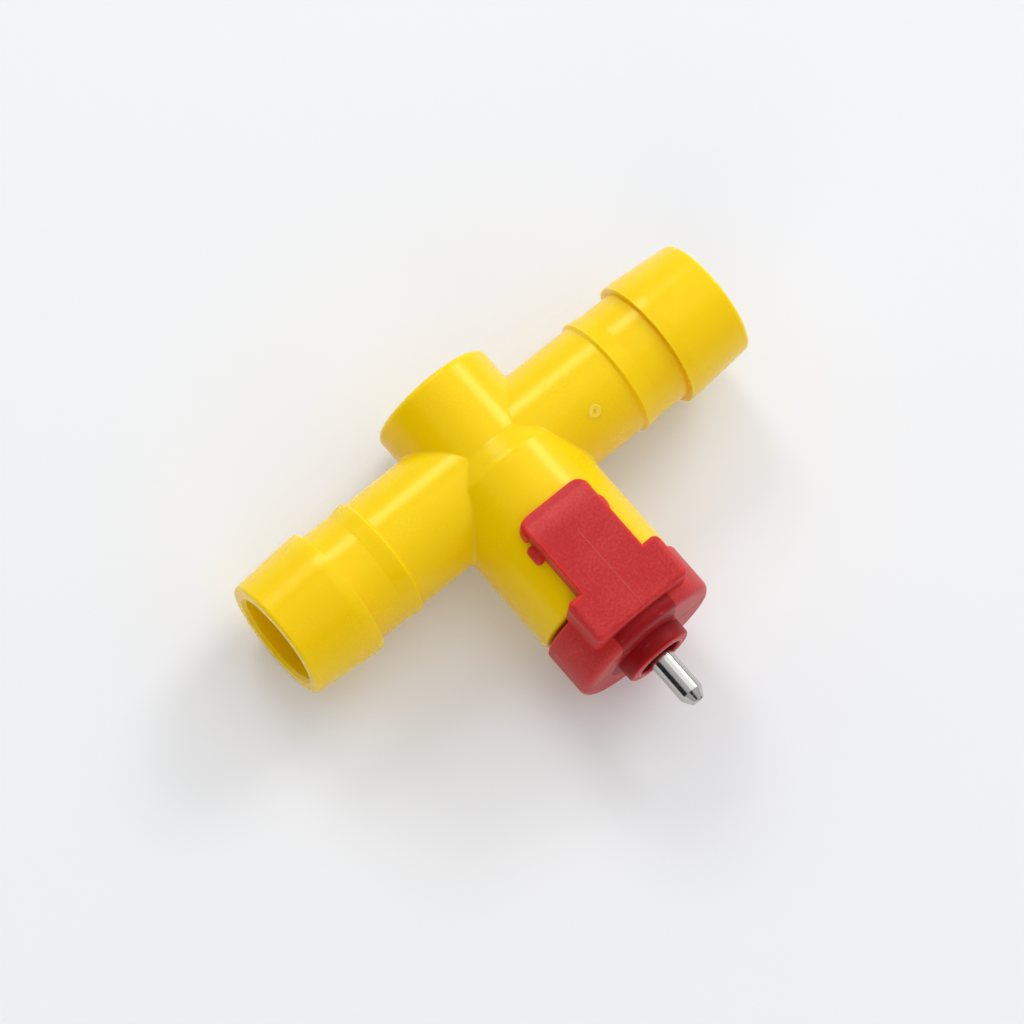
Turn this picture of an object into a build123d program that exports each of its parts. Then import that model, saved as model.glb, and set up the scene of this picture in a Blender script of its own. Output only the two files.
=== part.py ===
from build123d import *
from math import sqrt
import os

# A poultry nipple drinker on a hose cross fitting.
# X runs along the hose line, -Y points out of the valve along the trigger pin, Z is up.
# The origin is where the axis of the hose bore meets the axis of the valve.

# Hose line: two mirror-image tails, millimetres
hose_line_length = 46.3
water_bore_d = 8.1
tube_root_d = 10.34
tube_tip_d = 10.46
bead_d = 10.9
bead_rise = 0.25
bead_ramp = 1.5
bead_to_barb = 4.5
barb_d = 11.66
barb_land = 1.0
barb_length = 6.55
lip_d = 10.76
lip_rounding = 0.3
lip_chamfer = 0.3
crease_fillet = 0.3

# Valve barrel, its shoulder and the closed stub behind it
barrel_d = 13.0
barrel_reach = 14.25
barrel_wall = 1.5
rim_fillet = 0.45
shoulder_front_y = -1.2
shoulder_length = 2.0
shoulder_rounding = 1.0
stub_d = 11.24
stub_reach = 8.15
stub_fillet = 0.6
stub_wall = 1.8
pocket_d = 8.5
chamber_depth = 8.0

# Red cap: flange, collar and the spigot that snaps into the barrel
flange_gap = 0.35
flange_lip = 0.2
flange_thickness = 4.8
flange_fillet = 0.8
flange_rear_fillet = 0.3
collar_d = 6.1
collar_length = 1.55
collar_fillet = 0.4
collar_bore_d = 4.0
collar_bore_chamfer = 0.15
throat_d = 3.6
throat_length = 1.0
seat_web = 3.0
spigot_clearance = 0.05
spigot_wall = 1.85
spigot_length = 7.95
snap_height = 0.2
snap_land = 0.5
snap_to_end = 2.2

# Clip tab on top of the cap: a wide head over the flange and a tongue over the barrel
tab_top_z = 7.6
tab_root_z = 3.4
head_width = 9.6
head_front = 1.25
head_length = 4.2
head_corner = 0.65
head_brow = 0.5
head_edge = 0.45
tongue_width = 6.5
tongue_length = 7.7
tongue_corner = 1.0
tongue_edge = 0.18
tongue_gap = 0.05
tongue_droop = 0.5
droop_length = 2.2
foot_overhang = 0.22
foot_length = 1.5
foot_drop = 0.8
foot_edge = 0.2
nub_d = 2.0
nub_width = 7.8
nub_inset = 2.7
nub_sink = 1.4
nub_edge = 0.55

# Trigger pin with its ball head
pin_d = 2.18
pin_reach = 4.7
pin_cone = 0.9
pin_nose_d = 1.1
pin_nose_fillet = 0.25
ball_d = 4.6
ball_gap = 0.05

# Rubber seat, plunger, spring, spring seat and o-ring
seal_bore_d = 3.2
seal_thickness = 1.1
plunger_clearance = 0.05
plunger_length = 1.7
plunger_dish = 0.9
plunger_flutes = 4
flute_d = 1.5
plunger_stem_d = 2.4
plunger_stem_length = 1.2
spring_wire_d = 0.35
spring_turns = 4
spring_clearance = 0.15
seat_thickness = 0.8
seat_hole_d = 1.6
seat_ports = 6
seat_port_d = 0.7
o_ring_section_d = 1.0
o_ring_to_flange = 1.4
o_ring_side_gap = 0.05

# How near an edge or face lies to a place when it is picked there
pick_tolerance = 0.01

# Places along the valve axis, from the front face of the barrel outwards and inwards
barrel_front_y = -barrel_reach
flange_rear_y = barrel_front_y - flange_gap
flange_front_y = flange_rear_y - flange_thickness
collar_front_y = flange_front_y - collar_length
pin_tip_y = collar_front_y - pin_reach
seat_y = flange_front_y + seat_web
seal_rear_y = seat_y + seal_thickness

# Places along the hose line, from the end of a tail back towards the middle
tail_x = hose_line_length / 2
barb_x = tail_x - barb_length
bead_x = barb_x - bead_to_barb

# Radii that follow from fits
barrel_r = barrel_d / 2
chamber_r = barrel_r - barrel_wall
spigot_r = chamber_r - spigot_clearance
cavity_r = spigot_r - spigot_wall
spigot_rear_y = flange_rear_y + spigot_length
chamber_floor_y = barrel_front_y + chamber_depth
snap_y = spigot_rear_y - snap_to_end
snap_run = snap_land / 2 + snap_height
o_ring_y = flange_rear_y + o_ring_to_flange
groove_floor_r = chamber_r - o_ring_section_d
groove_half = o_ring_section_d / 2 + o_ring_side_gap
flange_r = barrel_r + flange_lip

# The clip tab's ends and the height of its nub
head_front_y = flange_front_y + head_front
head_rear_y = head_front_y + head_length
tongue_rear_y = head_rear_y + tongue_length
nub_y = tongue_rear_y - nub_inset
nub_z = barrel_r - nub_sink

# The ball rests just off the edge of the seal's bore
ball_r = ball_d / 2
dish_r = ball_r + ball_gap
ball_y = seal_rear_y + sqrt(dish_r**2 - (seal_bore_d / 2) ** 2)
plunger_front_y = ball_y + dish_r - plunger_dish
plunger_rear_y = plunger_front_y + plunger_length
spring_seat_y = spigot_rear_y - seat_thickness
spring_length = spring_seat_y - plunger_rear_y
spring_mean_r = plunger_stem_d / 2 + spring_clearance + spring_wire_d / 2
port_circle_r = (seat_hole_d / 2 + cavity_r) / 2

os.makedirs("parts", exist_ok=True)


# Cross fitting: one yellow moulding with two hose tails, the valve barrel and a blind stub
with BuildPart() as tee_body:
    with BuildSketch(Plane.XY):
        with BuildLine():
            Polyline(
                (0, barrel_front_y),
                (barrel_r, barrel_front_y),
                (barrel_r, shoulder_front_y),
                (stub_d / 2, shoulder_front_y + shoulder_length),
                (stub_d / 2, stub_reach),
                (0, stub_reach),
                close=True,
            )
        make_face()
        fillet(vertices().group_by(Axis.Y)[1] + vertices().group_by(Axis.Y)[2], shoulder_rounding)
    revolve(axis=Axis.Y)
    fillet(tee_body.faces().sort_by(Axis.Y)[-1].edges(), stub_fillet)
    fillet(tee_body.faces().sort_by(Axis.Y)[0].edges(), rim_fillet)
    with BuildSketch(Plane.XY):
        with BuildLine():
            Polyline(
                (0, 0),
                (0, tube_root_d / 2),
                (bead_x - bead_rise, tube_root_d / 2),
                (bead_x, bead_d / 2),
                (bead_x + bead_ramp, tube_tip_d / 2),
                (barb_x, tube_tip_d / 2),
                (barb_x, barb_d / 2),
                (barb_x + barb_land, barb_d / 2),
                (tail_x, lip_d / 2),
                (tail_x, 0),
                close=True,
            )
        make_face()
        mirror(about=Plane.YZ)
    revolve(axis=Axis.X)
    creases = tee_body.edges().filter_by(lambda e: e.geom_type not in (GeomType.CIRCLE, GeomType.LINE))
    fillet(creases, crease_fillet)
    for side in (Axis.X, -Axis.X):
        fillet(tee_body.faces().sort_by(side)[-1].edges(), lip_rounding)
    # Valve chamber with its snap groove, the passage and the pocket in the stub
    with BuildSketch(Plane.XY):
        with BuildLine():
            Polyline(
                (0, barrel_front_y),
                (chamber_r, barrel_front_y),
                (chamber_r, snap_y - snap_run),
                (chamber_r + snap_height, snap_y - snap_land / 2),
                (chamber_r + snap_height, snap_y + snap_land / 2),
                (chamber_r, snap_y + snap_run),
                (chamber_r, chamber_floor_y),
                (pocket_d / 2, chamber_floor_y),
                (pocket_d / 2, stub_reach - stub_wall),
                (0, stub_reach - stub_wall),
                close=True,
            )
        make_face()
    revolve(axis=Axis.Y, mode=Mode.SUBTRACT)
    with BuildSketch(Plane.YZ.offset(-tail_x)):
        Circle(water_bore_d / 2)
    extrude(amount=2 * tail_x, mode=Mode.SUBTRACT)
    for side in (Axis.X, -Axis.X):
        chamfer(tee_body.faces().sort_by(side)[-1].edges().sort_by(SortBy.RADIUS)[0], lip_chamfer)
tee_body.part.label = "tee_body"
export_step(tee_body.part, "parts/tee_body.step")

# Nub: a short round bar across the underside of the tongue
with BuildPart() as nub:
    with BuildSketch(Plane.YZ.offset(-nub_width / 2)):
        with Locations((nub_y, nub_z)):
            Circle(nub_d / 2)
    extrude(amount=nub_width)
    fillet(nub.edges().filter_by(GeomType.CIRCLE), nub_edge)

# Foot: the lower part of the tongue's end, a little wider than the tongue
with BuildPart() as foot:
    with BuildSketch(Plane.XY.offset(tab_root_z)):
        with Locations((0, tongue_rear_y - foot_length / 2)):
            Rectangle(tongue_width + 2 * foot_overhang, foot_length)
        fillet(vertices().group_by(Axis.Y)[-1], tongue_corner)
        fillet(vertices().group_by(Axis.Y)[0], foot_edge)
    extrude(amount=tab_top_z - foot_drop - tab_root_z)
    fillet(foot.faces().sort_by(Axis.Z)[-1].edges(), foot_edge)

# Clip tab: a wide head over the flange and a tongue over the barrel, with the foot and nub beneath
with BuildPart() as clip_tab:
    with BuildSketch(Plane.XY.offset(tab_root_z)):
        with BuildLine():
            Polyline(
                (0, head_front_y),
                (head_width / 2, head_front_y),
                (head_width / 2, head_rear_y),
                (tongue_width / 2, head_rear_y),
                (tongue_width / 2, tongue_rear_y),
                (0, tongue_rear_y),
                close=True,
            )
        make_face()
        mirror(about=Plane.YZ)
        fillet(vertices().group_by(Axis.Y)[-1], tongue_corner)
    extrude(amount=tab_top_z - tab_root_z)
    # The brow over the front rounds off first, then the upright corners and the edges round the top
    fillet(clip_tab.edges().group_by(Axis.Y)[0].sort_by(Axis.Z)[-1], head_brow)
    uprights = clip_tab.edges().filter_by(Axis.Z)
    uprights = uprights.filter_by(lambda e: abs(e.center().X) > head_width / 2 - pick_tolerance)
    fillet(uprights, head_corner)
    top = clip_tab.faces().filter_by(Axis.Z).sort_by(Axis.Z)[-1]
    fillet(top.edges().filter_by(lambda e: e.center().Y < head_rear_y + pick_tolerance), head_edge)
    # The tongue's top bends down in an arc towards its end
    with BuildSketch(Plane.YZ.offset(-head_width)):
        with BuildLine():
            Line((tongue_rear_y - droop_length, tab_top_z), (tongue_rear_y, tab_top_z))
            Line((tongue_rear_y, tab_top_z), (tongue_rear_y, tab_top_z - tongue_droop))
            RadiusArc(
                (tongue_rear_y - droop_length, tab_top_z),
                (tongue_rear_y, tab_top_z - tongue_droop),
                (droop_length**2 + tongue_droop**2) / (2 * tongue_droop),
            )
        make_face()
    extrude(amount=2 * head_width, mode=Mode.SUBTRACT)
    tongue_top = clip_tab.edges().filter_by(lambda e: e.center().Y > head_rear_y + pick_tolerance)
    tongue_top = tongue_top.filter_by(lambda e: e.center().Z > tab_top_z - tongue_droop - pick_tolerance)
    bend = tongue_top.filter_by(Axis.X).sort_by(Axis.Y)[0]
    fillet(tongue_top - [bend], tongue_edge)
    add(foot.part)
    add(nub.part)
    with BuildSketch(Plane.XZ.offset(-tongue_rear_y)):
        Circle(barrel_r + tongue_gap)
    extrude(amount=tongue_rear_y - flange_rear_y, mode=Mode.SUBTRACT)

# Cap: one red moulding of flange, collar, snap spigot and clip tab
with BuildPart() as valve_cap:
    with BuildSketch(Plane.XY):
        with BuildLine():
            Polyline(
                (0, collar_front_y),
                (collar_d / 2, collar_front_y),
                (collar_d / 2, flange_front_y),
                (flange_r, flange_front_y),
                (flange_r, flange_rear_y),
                (spigot_r, flange_rear_y),
                (spigot_r, o_ring_y - groove_half),
                (groove_floor_r, o_ring_y - groove_half),
                (groove_floor_r, o_ring_y + groove_half),
                (spigot_r, o_ring_y + groove_half),
                (spigot_r, snap_y - snap_run),
                (spigot_r + snap_height, snap_y - snap_land / 2),
                (spigot_r + snap_height, snap_y + snap_land / 2),
                (spigot_r, snap_y + snap_run),
                (spigot_r, spigot_rear_y),
                (0, spigot_rear_y),
                close=True,
            )
        make_face()
    revolve(axis=Axis.Y)
    circles = valve_cap.edges().filter_by(GeomType.CIRCLE)
    rims = circles.filter_by(lambda e: abs(e.radius - flange_r) < pick_tolerance).sort_by(Axis.Y)
    fillet(rims[0], flange_fillet)
    fillet(rims[-1], flange_rear_fillet)
    fillet(circles.sort_by(Axis.Y)[0], collar_fillet)
    add(clip_tab.part)
    with BuildSketch(Plane.XY):
        with BuildLine():
            Polyline(
                (0, collar_front_y),
                (collar_bore_d / 2 + collar_bore_chamfer, collar_front_y),
                (collar_bore_d / 2, collar_front_y + collar_bore_chamfer),
                (collar_bore_d / 2, seat_y - throat_length),
                (throat_d / 2, seat_y - throat_length),
                (throat_d / 2, seat_y),
                (cavity_r, seat_y),
                (cavity_r, spigot_rear_y),
                (0, spigot_rear_y),
                close=True,
            )
        make_face()
    revolve(axis=Axis.Y, mode=Mode.SUBTRACT)
valve_cap.part.label = "valve_cap"
export_step(valve_cap.part, "parts/valve_cap.step")

# Rubber seat washer against the cap's inner shoulder
with BuildPart() as seat_seal:
    with BuildSketch(Plane.XZ.offset(-seat_y)):
        Circle(cavity_r)
        Circle(seal_bore_d / 2, mode=Mode.SUBTRACT)
    extrude(amount=-seal_thickness)
seat_seal.part.label = "seat_seal"
export_step(seat_seal.part, "parts/seat_seal.step")

# Rubber o-ring squeezed between the spigot's groove and the barrel
with BuildPart() as cap_o_ring:
    with BuildSketch(Plane.XY):
        with Locations((groove_floor_r + o_ring_section_d / 2, o_ring_y)):
            Circle(o_ring_section_d / 2)
    revolve(axis=Axis.Y)
cap_o_ring.part.label = "cap_o_ring"
export_step(cap_o_ring.part, "parts/cap_o_ring.step")

# Stainless trigger pin: cone tip, straight shank and a ball that rocks on the seat
with BuildPart() as trigger_pin:
    with BuildSketch(Plane.XY):
        with BuildLine():
            Polyline(
                (0, ball_y + ball_r),
                (0, pin_tip_y),
                (pin_nose_d / 2, pin_tip_y),
                (pin_d / 2, pin_tip_y + pin_cone),
                (pin_d / 2, ball_y - sqrt(ball_r**2 - (pin_d / 2) ** 2)),
            )
            ThreePointArc(
                (pin_d / 2, ball_y - sqrt(ball_r**2 - (pin_d / 2) ** 2)),
                (ball_r, ball_y),
                (0, ball_y + ball_r),
            )
        make_face()
    revolve(axis=Axis.Y)
    fillet(trigger_pin.edges().filter_by(GeomType.CIRCLE).sort_by(Axis.Y)[0], pin_nose_fillet)
trigger_pin.part.label = "trigger_pin"
export_step(trigger_pin.part, "parts/trigger_pin.step")

# Fluted plunger that cups the ball and guides the spring on its stem
with BuildPart() as valve_plunger:
    with BuildSketch(Plane.XZ.offset(-plunger_front_y)):
        Circle(cavity_r - plunger_clearance)
        with PolarLocations(cavity_r, plunger_flutes):
            Circle(flute_d / 2, mode=Mode.SUBTRACT)
    extrude(amount=-plunger_length)
    with BuildSketch(Plane.XZ.offset(-plunger_rear_y)):
        Circle(plunger_stem_d / 2)
    extrude(amount=-plunger_stem_length)
    with Locations((0, ball_y, 0)):
        Sphere(dish_r, mode=Mode.SUBTRACT)
valve_plunger.part.label = "valve_plunger"
export_step(valve_plunger.part, "parts/valve_plunger.step")

# Return spring between the plunger and the spring seat
with BuildPart() as return_spring:
    with BuildLine():
        coil = Helix(
            pitch=(spring_length - spring_wire_d) / spring_turns,
            height=spring_length - spring_wire_d,
            radius=spring_mean_r,
            center=(0, plunger_rear_y + spring_wire_d / 2, 0),
            direction=(0, 1, 0),
        )
    with BuildSketch(Plane(origin=coil @ 0, z_dir=coil % 0)):
        Circle(spring_wire_d / 2)
    sweep()
return_spring.part.label = "return_spring"
export_step(return_spring.part, "parts/return_spring.step")

# Ported disc pressed into the spigot behind the spring
with BuildPart() as spring_seat:
    with BuildSketch(Plane.XZ.offset(-spring_seat_y)):
        Circle(cavity_r)
        Circle(seat_hole_d / 2, mode=Mode.SUBTRACT)
        with PolarLocations(port_circle_r, seat_ports):
            Circle(seat_port_d / 2, mode=Mode.SUBTRACT)
    extrude(amount=-seat_thickness)
spring_seat.part.label = "spring_seat"
export_step(spring_seat.part, "parts/spring_seat.step")
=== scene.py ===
from math import cos, pi, radians, sin, tan

import bpy
import numpy as np
from mathutils import Matrix, Vector


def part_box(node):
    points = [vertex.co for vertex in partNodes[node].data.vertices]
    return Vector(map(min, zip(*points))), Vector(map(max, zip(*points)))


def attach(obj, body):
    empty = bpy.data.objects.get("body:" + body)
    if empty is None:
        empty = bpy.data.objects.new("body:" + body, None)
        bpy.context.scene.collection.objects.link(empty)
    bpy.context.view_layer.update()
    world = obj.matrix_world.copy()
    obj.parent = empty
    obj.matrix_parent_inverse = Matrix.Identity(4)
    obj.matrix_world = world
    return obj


# Looks of a poultry nipple drinker: yellow cross fitting, red clip cap, steel trigger pin.
# Everything is in metres in the frame of the part: X along the hose, -Y out along the pin, Z up.

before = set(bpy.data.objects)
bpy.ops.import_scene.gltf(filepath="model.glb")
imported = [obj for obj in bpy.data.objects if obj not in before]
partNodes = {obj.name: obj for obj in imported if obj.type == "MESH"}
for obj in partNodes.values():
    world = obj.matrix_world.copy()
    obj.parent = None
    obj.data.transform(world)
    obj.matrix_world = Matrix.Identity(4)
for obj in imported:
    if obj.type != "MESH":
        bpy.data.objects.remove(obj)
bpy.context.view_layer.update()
mm = 0.001
print("frame loaded:", len(partNodes), "nodes")


class Wire:
    # A socket of a node tree. Sums and products of wires add the Math nodes that work them out.
    def __init__(self, tree, socket):
        self.tree = tree
        self.socket = socket

    def make(self, kind, settings=None, inputs=None, output=0):
        # Any node: its settings first, then values or links by socket
        node = self.tree.nodes.new(kind)
        for name, value in (settings or {}).items():
            setattr(node, name, value)
        for key, value in (inputs or {}).items():
            self.feed(node.inputs[key], value)
        return Wire(self.tree, node.outputs[output])

    def feed(self, socket, value):
        if isinstance(value, Wire):
            self.tree.links.new(value.socket, socket)
        else:
            socket.default_value = value

    def math(self, operation, *values):
        return self.make("ShaderNodeMath", {"operation": operation}, dict(enumerate(values)))

    def vector(self, operation, *values, output=0):
        settings = {"operation": operation}
        return self.make("ShaderNodeVectorMath", settings, dict(enumerate(values)), output)

    def mix(self, share, first, second):
        # Two colours, mixed by a share from 0 to 1
        return self.make("ShaderNodeMix", {"data_type": "RGBA"}, {0: share, 6: first, 7: second}, 2)

    def noise(self, place, scale, detail=2.0, roughness=0.5):
        inputs = {"Vector": place, "Scale": scale, "Detail": detail, "Roughness": roughness}
        return self.make("ShaderNodeTexNoise", None, inputs)

    def atLeast(self, other):
        return self.math("MAXIMUM", self, other)

    def near(self, middle, reach, soft):
        # 1 where the value lies within reach of the middle, falling to 0 over soft
        gap = self - middle
        return 1 - gap.math("ABSOLUTE", gap).step(reach, reach + soft)

    def parts(self):
        # The x, y and z of a vector, from one node
        first = self.make("ShaderNodeSeparateXYZ", None, {0: self})
        return [Wire(self.tree, socket) for socket in first.socket.node.outputs]

    def step(self, low, high, bottom=0.0, top=1.0):
        # A smooth climb from bottom to top while the value goes from low to high
        settings = {"interpolation_type": "SMOOTHSTEP"}
        inputs = {"Value": self, "From Min": low, "From Max": high, "To Min": bottom, "To Max": top}
        return self.make("ShaderNodeMapRange", settings, inputs)

    def __add__(self, other):
        return self.math("ADD", self, other)

    def __sub__(self, other):
        return self.math("SUBTRACT", self, other)

    def __rsub__(self, other):
        return self.math("SUBTRACT", other, self)

    def __mul__(self, other):
        return self.math("MULTIPLY", self, other)

    __radd__ = __add__
    __rmul__ = __mul__


def newFinish(name, constants):
    # A material with its fixed values set on the shader's own sockets, and a wire to start from
    material = bpy.data.materials.new(name)
    material.use_nodes = True
    tree = material.node_tree
    shader = tree.nodes["Principled BSDF"]
    for socket, value in constants.items():
        shader.inputs[socket].default_value = value
    place = tree.nodes.new("ShaderNodeTexCoord")
    return material, shader, Wire(tree, place.outputs["Object"])


def layOn(place, shader, colour, roughness, normal=None):
    # The wires that a finish varies by, into its shader
    place.feed(shader.inputs["Base Color"], colour)
    place.feed(shader.inputs["Roughness"], roughness)
    if normal is not None:
        place.feed(shader.inputs["Normal"], normal)


def bumpFrom(place, height, distance, strength=1.0, under=None):
    # Normal from a height in 0 to 1, distance metres from lowest to highest
    inputs = {"Height": height, "Distance": distance, "Strength": strength}
    if under is not None:
        inputs["Normal"] = under
    return place.make("ShaderNodeBump", None, inputs)


def edgesOf(place, radius, low, high):
    # 1 along the edges: how far the normal rounded over the radius turns from the surface's own
    rounded = place.make("ShaderNodeBevel", {"samples": 4}, {"Radius": radius})
    own = place.make("ShaderNodeNewGeometry", None, None, 1)
    return (1 - rounded.vector("DOT_PRODUCT", rounded, own, output=1)).step(low, high)


def spot(place, middle, reach, soft):
    # 1 within reach of a point, falling to 0 over soft
    return 1 - place.vector("DISTANCE", place, middle, output=1).step(reach, reach + soft)


# Yellow moulded plastic of the cross fitting
yellowLook = dict(
    colour=(0.99, 0.66, 0.0, 1.0),
    deepColour=(0.96, 0.61, 0.0, 1.0),
    # painted highlight: a paler yellow painted along the rounded edges, where light glows through the
    # rims; the parting line takes it too
    edgeGlowColour=(1.0, 0.74, 0.04, 1.0),
    roughness=0.25,
    grainGloss=0.14,                    # how far the grain and the flow waves vary the roughness
    flowGloss=0.10,
    cloudScale=130.0,
    cloudShare=0.5,
    grainScale=5200.0,
    grainHeight=0.0008 * mm,
    flowStretch=(90.0, 90.0, 40.0),     # waves run longer along Z
    flowScale=3.0,
    flowHeight=0.003 * mm,
    # reach and strength of the painted edge glow; the parting line shares the strength
    edgeRadius=0.30 * mm,
    edgeTurn=(0.01, 0.12),
    edgeGlowShare=0.5,
    partingHalf=0.03 * mm,              # half the width of the line where the mould halves met
    partingSoft=0.03 * mm,
    partingHeight=0.02 * mm,
    partingFrom=4.6 * mm,               # the bore inside this radius has no line
)


def yellowPlastic():
    # Clouded yellow with a fine grain, shallow flow waves and the mould's parting line round it, and a
    # pale glow painted along the rounded edges as a highlight
    material, shader, place = newFinish("yellow_plastic", {
        "Specular IOR Level": 0.4,
        "Specular Tint": (1.0, 0.88, 0.42, 1.0),
        "Subsurface Weight": 0.6,
        "Subsurface Radius": (0.9, 0.8, 0.04),
        "Subsurface Scale": 1.1 * mm,
    })
    look = yellowLook
    x, y, z = place.parts()
    cloud = place.noise(place, look["cloudScale"], 3.0)
    grain = place.noise(place, look["grainScale"])
    flow = place.noise(place.vector("MULTIPLY", place, look["flowStretch"]), look["flowScale"], 1.5)
    outside = (y * y + z * z).step((look["partingFrom"] - 0.2 * mm) ** 2, look["partingFrom"] ** 2)
    parting = z.near(0.0, look["partingHalf"], look["partingSoft"]) * outside
    # painted highlight along the rounded edges, where light glows through the thin rims
    glowEdges = edgesOf(place, look["edgeRadius"], *look["edgeTurn"])
    colour = place.mix(cloud.step(0.25, 0.8) * look["cloudShare"], look["colour"], look["deepColour"])
    colour = place.mix(glowEdges * look["edgeGlowShare"], colour, look["edgeGlowColour"])
    # the real parting line takes the same pale colour and share as the painted edge glow
    colour = place.mix(parting * look["edgeGlowShare"], colour, look["edgeGlowColour"])
    rough = look["roughness"] + (grain - 0.5) * look["grainGloss"] + (flow - 0.5) * look["flowGloss"]
    waves = bumpFrom(place, flow, look["flowHeight"], 0.5)
    ridge = bumpFrom(place, parting, look["partingHeight"], 1.0, waves)
    layOn(place, shader, colour, rough, bumpFrom(place, grain, look["grainHeight"], 1.0, ridge))
    return material


# Red grained plastic of the cap
redLook = dict(
    colour=(0.52, 0.026, 0.030, 1.0),
    # pale tone of the cloud and grain, also used for the painted highlight on the tongue's end
    paleAndHighlightColour=(0.66, 0.075, 0.070, 1.0),
    # painted highlight: a brighter red painted along the rounded edges, where light glows through
    edgeGlowColour=(0.90, 0.030, 0.018, 1.0),
    deepColour=(0.27, 0.000, 0.004, 1.0),     # darker red painted round and above the collar as shade and a dark reflection; the ground is smoother there
    lineColour=(0.035, 0.002, 0.003, 1.0),
    scuffColour=(0.72, 0.16, 0.16, 1.0),
    roughness=0.42,
    grainGloss=0.2,
    cloudScale=260.0,
    cloudPale=0.35,                     # how far cloud and grain pale the colour, and how far the painted highlight on the tongue's end does
    grainPale=1.6,
    tongueHighlightShare=0.6,
    tongueHighlightFade=(3.0 * mm, 1.0 * mm),    # the painted highlight on the tongue fades in between these distances from its end
    grainScale=4200.0,
    grainHeight=0.030 * mm,
    # reach and strength of the painted edge glow
    edgeRadius=0.55 * mm,
    edgeTurn=(0.006, 0.08),
    edgeGlowShare=0.8,
    polish=0.45,                        # roughness of the polished ground
    # how far the painted shade darkens the zone, and how far the grain there is smoothed
    polishAndShadeShare=0.85,
    polishDepth=(1.45 * mm, 1.32 * mm),  # its middle behind the collar's mouth, and half its depth
    polishMiddle=-0.4 * mm,             # the band above the collar: its middle and half its width
    polishHalf=2.75 * mm,
    polishRound=3.8 * mm,               # radius of the disc round the collar
    polishRight=(0.5 * mm, 0.8 * mm),   # on the flange's face the disc ends at this x
    collarLength=1.45 * mm,
    collarRadius=3.05 * mm,
    seamHalf=0.020 * mm,                # the pale seam along the top of the clip
    seamSoft=0.03 * mm,
    seamShift=-1.0 * mm,                # its middle, ahead of the cap's
    seamReach=4.75 * mm,
    seamShare=0.45,
    seamHeight=0.03 * mm,
    nickBehind=3.1 * mm,                # the nick at its front end, behind the collar's mouth
    nickRadius=0.06 * mm,
    partingHalf=0.06 * mm,              # the dark line where the mould halves met on the flange
    partingSoft=0.05 * mm,
    scuffStretch=(900.0, 4200.0, 900.0),
    scuffFrom=(0.63, 0.70),
    scuffShare=0.55,
    scuffGloss=0.25,
)


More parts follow.
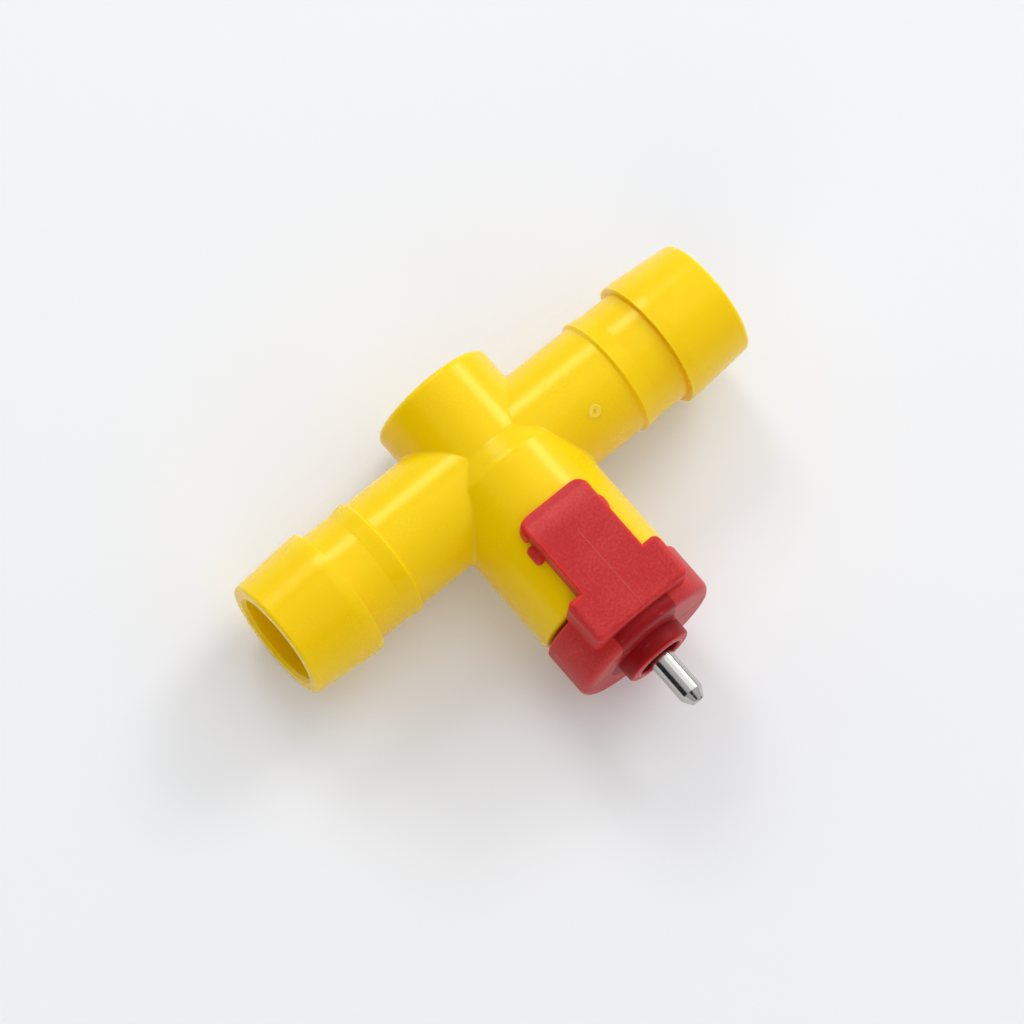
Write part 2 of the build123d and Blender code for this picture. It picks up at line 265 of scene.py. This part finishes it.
def redPlastic():
    # Grained red, smoother round the collar with a darker red painted there as shade, with the seam
    # along its top, the parting line on the flange, a glow painted on its edges, a highlight painted
    # on the tongue's end, and a few scuffs
    material, shader, place = newFinish("red_plastic", {
        "Specular IOR Level": 0.4,
        "Specular Tint": (1.0, 0.35, 0.35, 1.0),
        "Subsurface Weight": 0.35,
        "Subsurface Radius": (1.0, 0.05, 0.04),
        "Subsurface Scale": 0.5 * mm,
    })
    look = redLook
    low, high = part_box("valve_cap")
    front, rear, top = low[1], high[1], high[2]
    x, y, z = place.parts()
    cloud = place.noise(place, look["cloudScale"], 3.0)
    grain = place.noise(place, look["grainScale"], 3.0, 0.6)
    # the smoother ground round the collar, painted darker as shade: a band above the collar as wide as
    # it, and a disc round it
    polishFront, polishDeep = look["polishDepth"]
    ahead = y.near(front + polishFront, polishDeep, 0.05 * mm)
    axisGap = (x * x + z * z).math("SQRT", x * x + z * z)
    band = x.near(look["polishMiddle"], look["polishHalf"], 0.12 * mm) * z.step(-1.0 * mm, 0.0)
    disc = 1 - axisGap.step(look["polishRound"], look["polishRound"] + 0.1 * mm)
    collarEnd = front + look["collarLength"]
    collar = 1 - y.step(collarEnd, collarEnd + 0.05 * mm)
    disc = disc * collar.atLeast(1 - x.step(*look["polishRight"]))
    polishedAndShaded = ahead * band.atLeast(disc)
    # lines of the mould
    flat = z.step(top - 0.25 * mm, top - 0.15 * mm)
    along = y.near((rear + front) / 2 + look["seamShift"], look["seamReach"], 0.2 * mm)
    seam = x.near(0.0, look["seamHalf"], look["seamSoft"]) * flat * along
    seam = seam * place.noise(place, 1800.0).step(0.30, 0.50, 0.35, 1.0)
    nick = spot(place, (0.0, front + look["nickBehind"], top), look["nickRadius"], look["nickRadius"])
    seam = seam.atLeast(nick)
    parting = z.near(0.0, look["partingHalf"], look["partingSoft"])
    parting = parting * axisGap.step(look["collarRadius"], look["collarRadius"] + 0.1 * mm)
    # scuffs: stretched noise on the polished ground
    scratch = place.noise(place.vector("MULTIPLY", place, look["scuffStretch"]), 1.0, 4.0, 0.75)
    scuffs = scratch.step(*look["scuffFrom"]) * polishedAndShaded
    # painted highlight along the rounded edges, weaker on the darker ground round the collar
    glowEdges = edgesOf(place, look["edgeRadius"], *look["edgeTurn"]) * (1 - polishedAndShaded * 0.7)
    # painted highlight: the drooping end of the tongue made paler, as where the light catches it
    fadeFrom, fadeTo = look["tongueHighlightFade"]
    tongueHighlight = y.step(rear - fadeFrom, rear - fadeTo) * flat
    pale = cloud.step(0.3, 0.75) * look["cloudPale"] + (grain - 0.5) * look["grainPale"]
    pale = (pale + tongueHighlight * look["tongueHighlightShare"]).atLeast(0.0)
    colour = place.mix(pale, look["colour"], look["paleAndHighlightColour"])
    colour = place.mix(glowEdges * look["edgeGlowShare"], colour, look["edgeGlowColour"])
    # painted shade: darker red round and above the collar, where shade and a dark reflection fall
    colour = place.mix(polishedAndShaded * look["polishAndShadeShare"], colour, look["deepColour"])
    colour = place.mix(parting, colour, look["lineColour"])
    marks = (scuffs * look["scuffShare"]).atLeast(seam * look["seamShare"])
    colour = place.mix(marks, colour, look["scuffColour"])
    rough = look["roughness"] + (grain - 0.5) * look["grainGloss"] + scuffs * look["scuffGloss"]
    rough = rough + polishedAndShaded * (look["polish"] - look["roughness"])
    fine = bumpFrom(place, grain * (1 - polishedAndShaded * look["polishAndShadeShare"]), look["grainHeight"])
    layOn(place, shader, colour, rough, bumpFrom(place, seam - parting, look["seamHeight"], 1.0, fine))
    return material


# Turned and polished stainless steel of the trigger pin
steelLook = dict(
    colour=(0.60, 0.58, 0.55, 1.0),
    shadeColour=(0.50, 0.48, 0.45, 1.0),
    pitColour=(0.30, 0.29, 0.27, 1.0),
    # painted reflection: the near-black dash on the tip
    tipReflectionColour=(0.03, 0.03, 0.03, 1.0),
    roughness=0.15,
    lineStretch=(300.0, 14000.0, 300.0),
    lineGloss=0.10,
    lineHeight=0.001 * mm,
    pitScale=6500.0,
    pitFrom=(0.66, 0.74),
    pitShare=0.6,
    pitGloss=0.15,
    pitDepth=0.004 * mm,
    tipReflectionDepth=0.30 * mm,                # the dark reflection painted on the tip: from the tip back this far
    tipReflectionPlace=(0.10 * mm, 0.42 * mm),   # its middle, x and z
    tipReflectionHalf=(0.22 * mm, 0.08 * mm),    # half its width and height
    tipReflectionGloss=0.5,
)


def polishedSteel():
    # Bright steel with rings from turning, scattered pits and a near-black dash painted on the tip as a
    # dark reflection
    material, shader, place = newFinish("stainless_steel", {"Metallic": 1.0})
    look = steelLook
    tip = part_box("trigger_pin")[0][1]
    x, y, z = place.parts()
    lines = place.noise(place.vector("MULTIPLY", place, look["lineStretch"]), 1.0)
    pits = place.noise(place, look["pitScale"]).step(*look["pitFrom"])
    # painted reflection: a near-black dash on the tip, rougher there, with no cut in the surface
    tipReflection = 1 - y.step(tip + look["tipReflectionDepth"], tip + look["tipReflectionDepth"] + 0.05 * mm)
    tipReflection = tipReflection * z.near(look["tipReflectionPlace"][1], look["tipReflectionHalf"][1], 0.03 * mm)
    tipReflection = tipReflection * x.near(look["tipReflectionPlace"][0], look["tipReflectionHalf"][0], 0.05 * mm)
    colour = place.mix(lines, look["colour"], look["shadeColour"])
    colour = place.mix(pits * look["pitShare"], colour, look["pitColour"])
    colour = place.mix(tipReflection, colour, look["tipReflectionColour"])
    rough = look["roughness"] + (lines - 0.5) * look["lineGloss"]
    rough = rough + pits * look["pitGloss"] + tipReflection * look["tipReflectionGloss"]
    dents = bumpFrom(place, 1 - pits, look["pitDepth"])
    layOn(place, shader, colour, rough, bumpFrom(place, lines, look["lineHeight"], 1.0, dents))
    return material


# Finishes of two speckled colours: the inner parts, the thin yellow flash and the scraped red one
speckledLooks = dict(
    black_rubber=dict(
        fixed={"Specular IOR Level": 0.4},
        colours=((0.012, 0.012, 0.012, 1.0), (0.03, 0.03, 0.03, 1.0)),
        scale=4000.0, detail=3.0, roughness=0.55, gloss=0.2,
    ),
    white_plastic=dict(
        fixed={"Specular IOR Level": 0.45},
        colours=((0.80, 0.80, 0.77, 1.0), (0.74, 0.74, 0.70, 1.0)),
        scale=900.0, detail=3.0, roughness=0.40, gloss=0.1,
    ),
    spring_steel=dict(
        fixed={"Metallic": 1.0},
        colours=((0.50, 0.50, 0.50, 1.0), (0.36, 0.36, 0.37, 1.0)),
        scale=5000.0, detail=2.0, roughness=0.30, gloss=0.15,
    ),
    yellow_flash=dict(                  # paler than the wall, because the light passes through it
        fixed={"Specular IOR Level": 0.5, "Specular Tint": (1.0, 0.9, 0.4, 1.0)},
        colours=((0.93, 0.60, 0.01, 1.0), (0.98, 0.74, 0.10, 1.0)),
        scale=3000.0, detail=2.0, roughness=0.26, gloss=0.1,
    ),
    scraped_red=dict(                   # torn pale by trimming
        fixed={"Specular IOR Level": 0.4},
        colours=((0.45, 0.03, 0.03, 1.0), (0.78, 0.50, 0.48, 1.0)),
        scale=9000.0, detail=4.0, roughness=0.45, gloss=0.3,
        harshness=0.7, contrast=(0.35, 0.65), height=0.02 * mm,
    ),
)


def speckledFinish(name):
    # Two colours shared out by one noise, which varies the roughness too and may raise the surface
    look = speckledLooks[name]
    material, shader, place = newFinish(name, look["fixed"])
    speckle = place.noise(place, look["scale"], look["detail"], look.get("harshness", 0.5))
    share = speckle.step(*look["contrast"]) if "contrast" in look else speckle
    rough = look["roughness"] + (speckle - 0.5) * look["gloss"]
    normal = bumpFrom(place, speckle, look["height"]) if "height" in look else None
    layOn(place, shader, place.mix(share, *look["colours"]), rough, normal)
    return material


finishes = {
    "yellow": yellowPlastic(),
    "red": redPlastic(),
    "steel": polishedSteel(),
    "rubber": speckledFinish("black_rubber"),
    "white": speckledFinish("white_plastic"),
    "wire": speckledFinish("spring_steel"),
    "flash": speckledFinish("yellow_flash"),
    "scraped": speckledFinish("scraped_red"),
}
nodeFinish = {
    "tee_body": "yellow",
    "valve_cap": "red",
    "trigger_pin": "steel",
    "seat_seal": "rubber",
    "cap_o_ring": "rubber",
    "valve_plunger": "white",
    "spring_seat": "white",
    "return_spring": "wire",
}
for nodeName, finishName in nodeFinish.items():
    piece = partNodes[nodeName]
    piece.data.materials.clear()
    piece.data.materials.append(finishes[finishName])
print("finishes on the solid parts:", len(nodeFinish))


def roundAngles(count):
    # Evenly spaced angles once round, without the last that would repeat the first
    return np.linspace(0, 2 * pi, count, endpoint=False)


def skin(name, rings, finish, poles=True):
    # A closed surface through rings of points, each ring closed on itself. With poles, the first and
    # last rings are one point each. Without, the last ring joins the first. Turned to face outwards.
    count, around = rings.shape[:2]
    if poles:
        points = np.concatenate([rings[:1, 0], rings[1:-1].reshape(-1, 3), rings[-1:, 0]])
        index = np.arange((count - 2) * around).reshape(count - 2, around) + 1
        ahead = np.roll(index, -1, axis=1)
        quads = np.stack([index[:-1], ahead[:-1], ahead[1:], index[1:]], axis=-1)
        first = np.zeros(around, dtype=int)
        last = np.full(around, len(points) - 1)
        fans = np.concatenate([np.stack([first, ahead[0], index[0]], axis=-1),
                               np.stack([last, index[-1], ahead[-1]], axis=-1)])
    else:
        points = rings.reshape(-1, 3)
        index = np.arange(count * around).reshape(count, around)
        ahead = np.roll(index, -1, axis=1)
        quads = np.stack([index, ahead, np.roll(ahead, -1, axis=0), np.roll(index, -1, axis=0)], axis=-1)
        fans = np.zeros((0, 3), dtype=int)
    quads = quads.reshape(-1, 4)
    corners = points[np.concatenate([quads[:, :3], quads[:, [0, 2, 3]], fans])]
    volume = (corners[:, 0] * np.cross(corners[:, 1], corners[:, 2])).sum()
    if volume < 0:
        quads, fans = quads[:, ::-1], fans[:, ::-1]
    mesh = bpy.data.meshes.new(name)
    mesh.from_pydata(points.tolist(), [], quads.tolist() + fans.tolist())
    mesh.shade_smooth()
    mesh.materials.append(finish)
    piece = bpy.data.objects.new(name, mesh)
    bpy.context.collection.objects.link(piece)
    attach(piece, "fitting")


# Mark left by the moulding gate on the side of the right hose tail, in millimetres
gateLook = dict(
    place=(8.36, -2.55, 4.53),
    tubeRadius=5.17,
    radius=0.62,
    rim=0.035,
    rimAt=0.78,             # shares of the radius
    rimWidth=0.13,
    pit=0.03,
    pitWidth=0.35,
    proud=0.012,
    sink=0.12,
    steps=(14, 48),
)


def gateMark():
    # Turned about the tail's outward normal, for s from 0 to 1 of the radius: a rim of height
    # rim u exp(-((s - rimAt) / rimWidth)^2), uneven by u, a sum of sines, less a pit
    # pit exp(-(s / pitWidth)^2) and less the fall of the tube, and closed by a cone below
    look = gateLook
    rows, around = look["steps"]
    x, y, z = look["place"]
    off = np.hypot(y, z)
    out = np.array([0.0, y / off, z / off])
    side = np.cross(out, (1.0, 0.0, 0.0))
    s, turn = np.meshgrid(np.linspace(0, 1, rows), roundAngles(around), indexing="ij")
    uneven = 0.75 + 0.6 * np.sin(turn + 2.4) + 0.2 * np.sin(3 * turn + 0.5)
    height = look["rim"] * uneven * np.exp(-((s - look["rimAt"]) / look["rimWidth"]) ** 2)
    height = height - look["pit"] * np.exp(-(s / look["pitWidth"]) ** 2) + look["proud"]
    height = height - (look["radius"] * s * np.sin(turn)) ** 2 / (2 * look["tubeRadius"]) - 0.03 * s**8
    height = np.concatenate([height, np.full((1, around), -look["sink"])])
    reach = look["radius"] * np.concatenate([s * (1 + 0.04 * np.sin(2 * turn)), np.zeros((1, around))])
    turn = np.concatenate([turn, turn[:1]])
    along = (reach * np.cos(turn))[..., None] * np.array([1.0, 0.0, 0.0])
    across = (reach * np.sin(turn))[..., None] * side
    middle = np.array([x, 0.0, 0.0]) + look["tubeRadius"] * out
    rings = (middle + along + across + height[..., None] * out) * mm
    skin("gate_mark", rings, finishes["flash"])


# Ragged flash round the mouth of the collar, in millimetres
flashLook = dict(
    mouth=2.24,             # radius of the ring's middle
    width=0.15,
    height=0.035,
    wobble=0.055,
    steps=(160, 12),
)


def collarFlash():
    # A closed ring round the pin's axis: its middle is at radius mouth + wobble f(a) and its section an
    # ellipse, width by height, both times 0.45 + 0.55 g(a), where f and g are sums of sines
    look = flashLook
    rows, around = look["steps"]
    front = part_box("valve_cap")[0][1] / mm
    a, b = np.meshgrid(roundAngles(rows), roundAngles(around), indexing="ij")
    f = np.sin(3 * a + 0.4) * 0.4 + np.sin(11 * a + 1.0) * 0.35 + np.sin(23 * a) * 0.25
    g = 0.5 + 0.3 * np.sin(a + 3.6) + 0.12 * np.sin(17 * a) + 0.08 * np.sin(31 * a + 2.0)
    size = 0.45 + 0.55 * g
    radius = look["mouth"] + look["wobble"] * f * size + 0.5 * look["width"] * size * np.cos(b)
    depth = look["height"] * size * np.sin(b)
    rings = np.stack([radius * np.cos(a), front - depth, radius * np.sin(a)], axis=-1) * mm
    skin("collar_flash", rings, finishes["scraped"], poles=False)


# Two threads of flash where the mould's cores met, on the crown of the cross, in millimetres
crownLook = dict(
    threads=[((-1.0, 0.66), (-0.24, 0.63)), ((-2.2, -0.72), (0.72, -0.46))],   # x and y of both ends
    width=0.11,
    height=0.018,
    waver=0.02,
    above=30.0,             # height that they are laid on the crown from
    steps=(36, 10),
)


def crownFlash():
    # An ellipse, width by height, carried along a slightly wavering line laid on the crown from
    # above, and drawn to a point at both ends by (sin pi t)^0.4
    look = crownLook
    rows, around = look["steps"]
    down = Vector((0.0, 0.0, -1.0))
    t = np.linspace(0, 1, rows)
    size = np.sin(pi * t) ** 0.4 * (0.8 + 0.2 * np.sin(9 * pi * t))
    size[[0, -1]] = 0
    b = roundAngles(around)
    for number, ((xFrom, yFrom), (xTo, yTo)) in enumerate(look["threads"]):
        x = xFrom + (xTo - xFrom) * t
        y = yFrom + (yTo - yFrom) * t + look["waver"] * np.sin(7 * pi * t)
        starts = [Vector((p, q, look["above"])) * mm for p, q in zip(x, y)]
        hits = [partNodes["tee_body"].ray_cast(start, down)[1] for start in starts]
        line = np.stack([x, y, np.array([hit.z for hit in hits]) / mm], axis=-1)
        side = np.cross(np.gradient(line, axis=0), (0.0, 0.0, 1.0))
        side = side / np.linalg.norm(side, axis=1, keepdims=True)
        across = (look["width"] / 2 * size)[:, None, None] * np.cos(b)[:, None] * side[:, None]
        upward = (look["height"] * size)[:, None, None] * np.sin(b)[:, None] * np.array([0.0, 0.0, 1.0])
        rings = (line[:, None] + across + upward) * mm
        skin("crown_flash_" + str(number + 1), rings, finishes["flash"])


gateMark()
collarFlash()
crownFlash()
print("gate mark, collar flash and crown flash added")


# Floor that the drinker lies on: it rests on the cap's rim, the shoulder and the left hose tail
floorLook = dict(
    size=3.0,
    colour=(0.725, 0.74, 0.765, 1.0),       # as looked at
    bounceColour=(0.84, 0.85, 0.87, 1.0),   # as it throws light back at the drinker
    lift=0.135,                             # pale glow of the sheet itself, looked at only
    slope=0.85,                             # degrees, falling towards the cap
    roll=2.13,                              # degrees, rising towards the left tail
)


def floorPlane():
    # A flat square at right angles to n = (-tan(roll), tan(slope), -1), pushed along n, made unit
    # length, to the fitting's furthest point: the largest dot product of n with a vertex
    look = floorLook
    down = Vector((-tan(radians(look["roll"])), tan(radians(look["slope"])), -1.0)).normalized()
    reach = 0.0
    for nodeName in ("tee_body", "valve_cap"):
        vertices = partNodes[nodeName].data.vertices
        spots = np.empty(len(vertices) * 3)
        vertices.foreach_get("co", spots)
        reach = max(reach, float((spots.reshape(-1, 3) @ np.array(down)).max()))
    half = look["size"] / 2
    x, y = np.array([(-half, -half), (half, -half), (half, half), (-half, half)]).T
    z = (reach - down.x * x - down.y * y) / down.z
    mesh = bpy.data.meshes.new("floor")
    mesh.from_pydata(np.stack([x, y, z], axis=-1).tolist(), [], [(0, 1, 2, 3)])
    floor = bpy.data.objects.new("floor", mesh)
    bpy.context.collection.objects.link(floor)
    material, shader, place = newFinish("pale_floor", {
        "Specular IOR Level": 0.1,
        "Roughness": 0.9,
        "Emission Strength": look["lift"],
    })
    rays = place.make("ShaderNodeLightPath").socket.node.outputs
    seen, mirrored, through = [Wire(place.tree, rays[kind]) for kind in
                               ("Is Camera Ray", "Is Glossy Ray", "Is Transmission Ray")]
    looked = seen.atLeast(mirrored).atLeast(through)
    colour = place.mix(looked, look["bounceColour"], look["colour"])
    place.feed(shader.inputs["Base Color"], colour)
    glow = place.mix(looked, (0.0, 0.0, 0.0, 1.0), (1.0, 1.0, 1.0, 1.0))
    place.feed(shader.inputs["Emission Color"], glow)
    mesh.materials.append(material)
    print("floor touches the fitting", round(reach / mm, 2), "mm below its middle")


floorPlane()


# Lamps and the pale room around
roomLook = dict(
    bright=(1.24, 1.25, 1.28, 1.0),     # the side of the window
    dim=(0.84, 0.85, 0.87, 1.0),        # the far side of the room
    dark=(0.05, 0.055, 0.06, 1.0),      # the unlit corners that the steel mirrors
    brightSide=(0.66, 0.18, 0.73),
    darkSides=[((-0.93, 0.18, 0.30), 0.81, 0.92), ((-0.12, -0.79, 0.60), 0.965, 0.99)],
    strength=0.56,
    lamps=[
        dict(name="ceilingLamp", toward=(0.42, 0.12, 0.90), distance=1.0, size=(0.8, 0.8), power=1.4),
        dict(name="rightWindow", toward=(0.81, 0.20, 0.55), distance=0.9, size=(0.34, 0.24), power=2.1),
        dict(name="leftWindow", toward=(0.21, 0.74, 0.64), distance=0.9, size=(0.28, 0.24), power=1.75),
        dict(name="fillLamp", toward=(-0.62, -0.60, 0.45), distance=1.2, size=(1.0, 0.6), power=1.9,
             colour=(1.0, 0.80, 0.42), mirrored=False),
    ],
)


def lightRoom():
    # An even pale room that is brighter towards the window and has two unlit corners, and four soft
    # lamps. A corner is where the direction's dot product with its middle passes the two limits.
    look = roomLook
    world = bpy.data.worlds.new("paleRoom")
    bpy.context.scene.world = world
    world.use_nodes = True
    background = world.node_tree.nodes["Background"]
    coordinates = world.node_tree.nodes.new("ShaderNodeTexCoord")
    direction = Wire(world.node_tree, coordinates.outputs["Generated"])
    side = Vector(look["brightSide"]).normalized()
    facing = direction.vector("DOT_PRODUCT", direction, tuple(side), output=1)
    colour = direction.mix(facing.step(-0.8, 0.95), look["dim"], look["bright"])
    for middle, edge, full in look["darkSides"]:
        toCorner = tuple(Vector(middle).normalized())
        corner = direction.vector("DOT_PRODUCT", direction, toCorner, output=1)
        colour = direction.mix(corner.step(edge, full), colour, look["dark"])
    direction.feed(background.inputs["Color"], colour)
    background.inputs["Strength"].default_value = look["strength"]
    for lamp in look["lamps"]:
        light = bpy.data.lights.new(lamp["name"], "AREA")
        light.shape = "RECTANGLE"
        light.size, light.size_y = lamp["size"]
        light.energy = lamp["power"]
        light.color = lamp.get("colour", (1.0, 1.0, 1.0))
        holder = bpy.data.objects.new(lamp["name"], light)
        bpy.context.collection.objects.link(holder)
        holder.visible_glossy = lamp.get("mirrored", True)
        toward = Vector(lamp["toward"]).normalized()
        holder.location = toward * lamp["distance"]
        holder.rotation_euler = toward.to_track_quat("Z", "Y").to_euler()


lightRoom()


# Camera
cameraLook = dict(
    lens=191.48,
    sensor=36.0,
    aim=(-1.302 * mm, -3.871 * mm, 0.0),
    distance=444.13 * mm,
    turn=-140.507,          # degrees round Z from the X axis
    height=72.991,          # degrees above the level
    roll=-10.526,           # degrees round the line of sight
)


def placeCamera():
    # Looks back along the direction of turn and height, with Z upright in view before the roll
    look = cameraLook
    turn, height, roll = [radians(look[angle]) for angle in ("turn", "height", "roll")]
    back = Vector((cos(height) * cos(turn), cos(height) * sin(turn), sin(height)))
    upright = (Vector((0.0, 0.0, 1.0)) - back * back.z).normalized()
    side = upright.cross(back)
    up = upright * cos(roll) + side * sin(roll)
    right = up.cross(back)
    camera = bpy.data.cameras.new("camera")
    camera.lens = look["lens"]
    camera.sensor_width = look["sensor"]
    camera.clip_start = 0.01
    camera.clip_end = 20.0
    holder = bpy.data.objects.new("camera", camera)
    bpy.context.collection.objects.link(holder)
    turned = Matrix((right, up, back)).transposed().to_4x4()
    holder.matrix_world = Matrix.Translation(Vector(look["aim"]) + back * look["distance"]) @ turned
    bpy.context.scene.camera = holder


placeCamera()
bpy.context.scene.view_settings.view_transform = "Standard"
print("lamps and camera placed")
